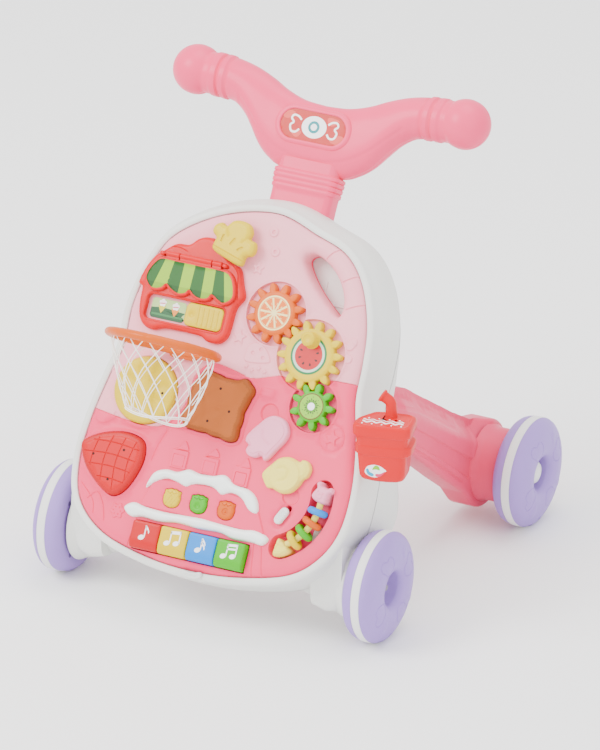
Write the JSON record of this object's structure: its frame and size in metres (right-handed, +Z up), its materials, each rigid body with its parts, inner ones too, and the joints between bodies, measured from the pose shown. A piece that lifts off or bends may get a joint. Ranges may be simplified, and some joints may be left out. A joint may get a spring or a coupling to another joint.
{
  "type": "baby walker",
  "caption": "Push-along baby walker with a gull-shaped handlebar, four wheels and a sloping lift-off play panel of gears, drums, keys, beads and a ball hoop.",
  "frame": {"origin": "on the floor, under the middle of the whole walker", "axes": "+X right as seen by someone facing the play panel, -Y towards the play panel side (front), +Z up"},
  "size_m": [0.4185, 0.44, 0.4863],
  "materials": {
    "body_white": "smooth moulded ABS",
    "leg_pink": "smooth moulded ABS",
    "handle_pink": "smooth moulded ABS",
    "emblem_red": "printed plate",
    "axle_steel": "zinc plated",
    "wheel_purple": "satin moulded",
    "tyre_white": "soft elastomer",
    "panel_pale_pink": "smooth moulded ABS",
    "panel_pink": "smooth moulded ABS",
    "panel_back": "satin moulded",
    "cream": "smooth",
    "rod_yellow": "smooth",
    "shop_red": "smooth",
    "hoop_orange": "smooth",
    "net_string": "knotted string",
    "board_green": "solder resist",
    "speaker_black": "paper cone",
    "battery_metal": "printed sleeve",
    "awning_green": "two-tone stripes",
    "button_yellow": "smooth",
    "biscuit_brown": "satin",
    "berry_red": "smooth",
    "gear_orange": "smooth",
    "gear_green": "smooth",
    "popsicle_pink": "smooth",
    "candy_yellow": "smooth",
    "switch_white": "smooth",
    "key_blue": "smooth"
  },
  "bodies": {
    "frame": {"body_front_shell": "body_white", "body_tray": "body_white", "body_rear_shell": "body_white", "left_leg": "leg_pink", "right_leg": "leg_pink", "neck": "handle_pink", "handlebar_front_shell": "handle_pink", "handlebar_rear_shell": "handle_pink", "handle_emblem": "emblem_red", "front_axle": "axle_steel", "rear_axles": "axle_steel", "frame_screws": "axle_steel"},
    "play_panel": {"panel_upper_cover": "panel_pale_pink", "panel_lower_cover": "panel_pink", "panel_back_cover": "panel_back", "cream_trims": "cream", "bead_rod": "rod_yellow", "shop_front": "shop_red", "hoop": "hoop_orange", "net": "net_string", "gear_spindles": "panel_pink", "circuit_board": "board_green", "speaker": "speaker_black", "batteries": "battery_metal", "battery_door": "panel_back", "panel_screws": "axle_steel"},
    "front_left_wheel": {"front_left_rim": "wheel_purple", "front_left_tyre": "tyre_white"},
    "front_right_wheel": {"front_right_rim": "wheel_purple", "front_right_tyre": "tyre_white"},
    "rear_left_wheel": {"rear_left_rim": "wheel_purple", "rear_left_tyre": "tyre_white"},
    "rear_right_wheel": {"rear_right_rim": "wheel_purple", "rear_right_tyre": "tyre_white"},
    "awning": {"awning": "awning_green"},
    "window_slider": {"window_slider": "button_yellow"},
    "chef_hat": {"chef_hat": "button_yellow"},
    "pineapple_drum": {"pineapple_drum": "button_yellow"},
    "biscuit_drum": {"biscuit_drum": "biscuit_brown"},
    "strawberry_drum": {"strawberry_drum": "berry_red"},
    "orange_gear": {"orange_gear": "gear_orange"},
    "yellow_gear": {"yellow_gear": "button_yellow"},
    "green_gear": {"green_gear": "gear_green"},
    "popsicle": {"popsicle": "popsicle_pink"},
    "candy": {"candy": "candy_yellow"},
    "mode_switch": {"mode_switch": "switch_white"},
    "bead_1": {"bead_1": "key_blue"},
    "bead_2": {"bead_2": "gear_orange"},
    "bead_3": {"bead_3": "gear_green"},
    "bead_4": {"bead_4": "button_yellow"},
    "fruit_button_1": {"fruit_button_1": "button_yellow"},
    "fruit_button_2": {"fruit_button_2": "gear_green"},
    "fruit_button_3": {"fruit_button_3": "gear_orange"},
    "key_1": {"key_1": "berry_red"},
    "key_2": {"key_2": "button_yellow"},
    "key_3": {"key_3": "key_blue"},
    "key_4": {"key_4": "gear_green"},
    "panel_latch": {"panel_latch": "switch_white"},
    "cup": {"cup": "berry_red"}
  },
  "joints": [
    {"name": "front_left_wheel_spin", "type": "hinge", "parent": "frame", "child": "front_left_wheel", "pos_m": [0, -0.144, 0.057], "axis": [1, 0, 0], "continuous": true},
    {"name": "front_right_wheel_spin", "type": "hinge", "parent": "frame", "child": "front_right_wheel", "pos_m": [0, -0.144, 0.057], "axis": [1, 0, 0], "continuous": true},
    {"name": "rear_left_wheel_spin", "type": "hinge", "parent": "frame", "child": "rear_left_wheel", "pos_m": [0, 0.162, 0.057], "axis": [1, 0, 0], "continuous": true},
    {"name": "rear_right_wheel_spin", "type": "hinge", "parent": "frame", "child": "rear_right_wheel", "pos_m": [0, 0.162, 0.057], "axis": [1, 0, 0], "continuous": true},
    {"name": "play_panel_lift_off", "type": "slide", "parent": "frame", "child": "play_panel", "axis": [0, -0.8572, 0.515], "range_m": [0, 0.12]},
    {"name": "yellow_gear_turn", "type": "hinge", "parent": "play_panel", "child": "yellow_gear", "pos_m": [0.0743, -0.09518, 0.2669], "axis": [0, -0.8572, 0.515], "continuous": true},
    {"name": "orange_gear_turn", "type": "hinge", "parent": "play_panel", "child": "orange_gear", "pos_m": [0.0265, -0.07782, 0.29581], "axis": [0, -0.8572, 0.515], "continuous": true},
    {"name": "green_gear_turn", "type": "hinge", "parent": "play_panel", "child": "green_gear", "pos_m": [0.09021, -0.12055, 0.22469], "axis": [0, -0.8572, 0.515], "continuous": true},
    {"name": "pineapple_drum_press", "type": "slide", "parent": "play_panel", "child": "pineapple_drum", "axis": [0, 0.8572, -0.515], "range_m": [0, 0.003], "stiffness_N_per_m": 900, "springref_m": -0.001},
    {"name": "biscuit_drum_press", "type": "slide", "parent": "play_panel", "child": "biscuit_drum", "axis": [0, 0.8572, -0.515], "range_m": [0, 0.003], "stiffness_N_per_m": 900, "springref_m": -0.001},
    {"name": "strawberry_drum_press", "type": "slide", "parent": "play_panel", "child": "strawberry_drum", "axis": [0, 0.8572, -0.515], "range_m": [0, 0.003], "stiffness_N_per_m": 900, "springref_m": -0.001},
    {"name": "fruit_button_1_press", "type": "slide", "parent": "play_panel", "child": "fruit_button_1", "axis": [0, 0.8572, -0.515], "range_m": [0, 0.002], "stiffness_N_per_m": 400, "springref_m": -0.001},
    {"name": "fruit_button_2_press", "type": "slide", "parent": "play_panel", "child": "fruit_button_2", "axis": [0, 0.8572, -0.515], "range_m": [0, 0.002], "stiffness_N_per_m": 400, "springref_m": -0.001},
    {"name": "fruit_button_3_press", "type": "slide", "parent": "play_panel", "child": "fruit_button_3", "axis": [0, 0.8572, -0.515], "range_m": [0, 0.002], "stiffness_N_per_m": 400, "springref_m": -0.001},
    {"name": "key_1_press", "type": "slide", "parent": "play_panel", "child": "key_1", "axis": [0, 0.8572, -0.515], "range_m": [0, 0.003], "stiffness_N_per_m": 500, "springref_m": -0.001},
    {"name": "key_2_press", "type": "slide", "parent": "play_panel", "child": "key_2", "axis": [0, 0.8572, -0.515], "range_m": [0, 0.003], "stiffness_N_per_m": 500, "springref_m": -0.001},
    {"name": "key_3_press", "type": "slide", "parent": "play_panel", "child": "key_3", "axis": [0, 0.8572, -0.515], "range_m": [0, 0.003], "stiffness_N_per_m": 500, "springref_m": -0.001},
    {"name": "key_4_press", "type": "slide", "parent": "play_panel", "child": "key_4", "axis": [0, 0.8572, -0.515], "range_m": [0, 0.003], "stiffness_N_per_m": 500, "springref_m": -0.001},
    {"name": "awning_flip", "type": "hinge", "parent": "play_panel", "child": "awning", "pos_m": [0, -0.06875, 0.33187], "axis": [-1, 0, 0], "range_deg": [0, 90]},
    {"name": "window_slide", "type": "slide", "parent": "play_panel", "child": "window_slider", "axis": [1, 0, 0], "range_m": [-0.0442, 0]},
    {"name": "chef_hat_swivel", "type": "hinge", "parent": "play_panel", "child": "chef_hat", "pos_m": [-0.031, -0.04687, 0.3473], "axis": [0, -0.8572, 0.515], "range_deg": [-15, 15]},
    {"name": "popsicle_swivel", "type": "hinge", "parent": "play_panel", "child": "popsicle", "pos_m": [0.051, -0.14009, 0.19216], "axis": [0, -0.8572, 0.515], "range_deg": [-20, 20]},
    {"name": "candy_swivel", "type": "hinge", "parent": "play_panel", "child": "candy", "pos_m": [0.079, -0.15761, 0.16301], "axis": [0, -0.8572, 0.515], "range_deg": [-20, 20]},
    {"name": "mode_switch_slide", "type": "slide", "parent": "play_panel", "child": "mode_switch", "axis": [0.4695, 0.4548, 0.7568], "range_m": [0, 0.005]},
    {"name": "bead_1_slide", "type": "hinge", "parent": "play_panel", "child": "bead_1", "pos_m": [0.068, -0.16876, 0.14638], "axis": [0, -0.8572, 0.515], "range_deg": [-2, 2.5]},
    {"name": "bead_2_slide", "type": "hinge", "parent": "play_panel", "child": "bead_2", "pos_m": [0.068, -0.16876, 0.14638], "axis": [0, -0.8572, 0.515], "range_deg": [-2, 2]},
    {"name": "bead_3_slide", "type": "hinge", "parent": "play_panel", "child": "bead_3", "pos_m": [0.068, -0.16876, 0.14638], "axis": [0, -0.8572, 0.515], "range_deg": [-2, 2]},
    {"name": "bead_4_slide", "type": "hinge", "parent": "play_panel", "child": "bead_4", "pos_m": [0.068, -0.16876, 0.14638], "axis": [0, -0.8572, 0.515], "range_deg": [-2.5, 2]},
    {"name": "panel_latch_press", "type": "slide", "parent": "frame", "child": "panel_latch", "axis": [0, -0.515, -0.8572], "range_m": [0, 0.002], "stiffness_N_per_m": 300, "springref_m": -0.001},
    {"name": "cup_lift_off", "type": "slide", "parent": "frame", "child": "cup", "axis": [0, 0, 1], "range_m": [0, 0.08]}
  ],
  "couplings": [
    {"joint": "orange_gear_turn", "follows": "yellow_gear_turn", "ratio": -1.1667},
    {"joint": "green_gear_turn", "follows": "yellow_gear_turn", "ratio": -1.5556}
  ]
}
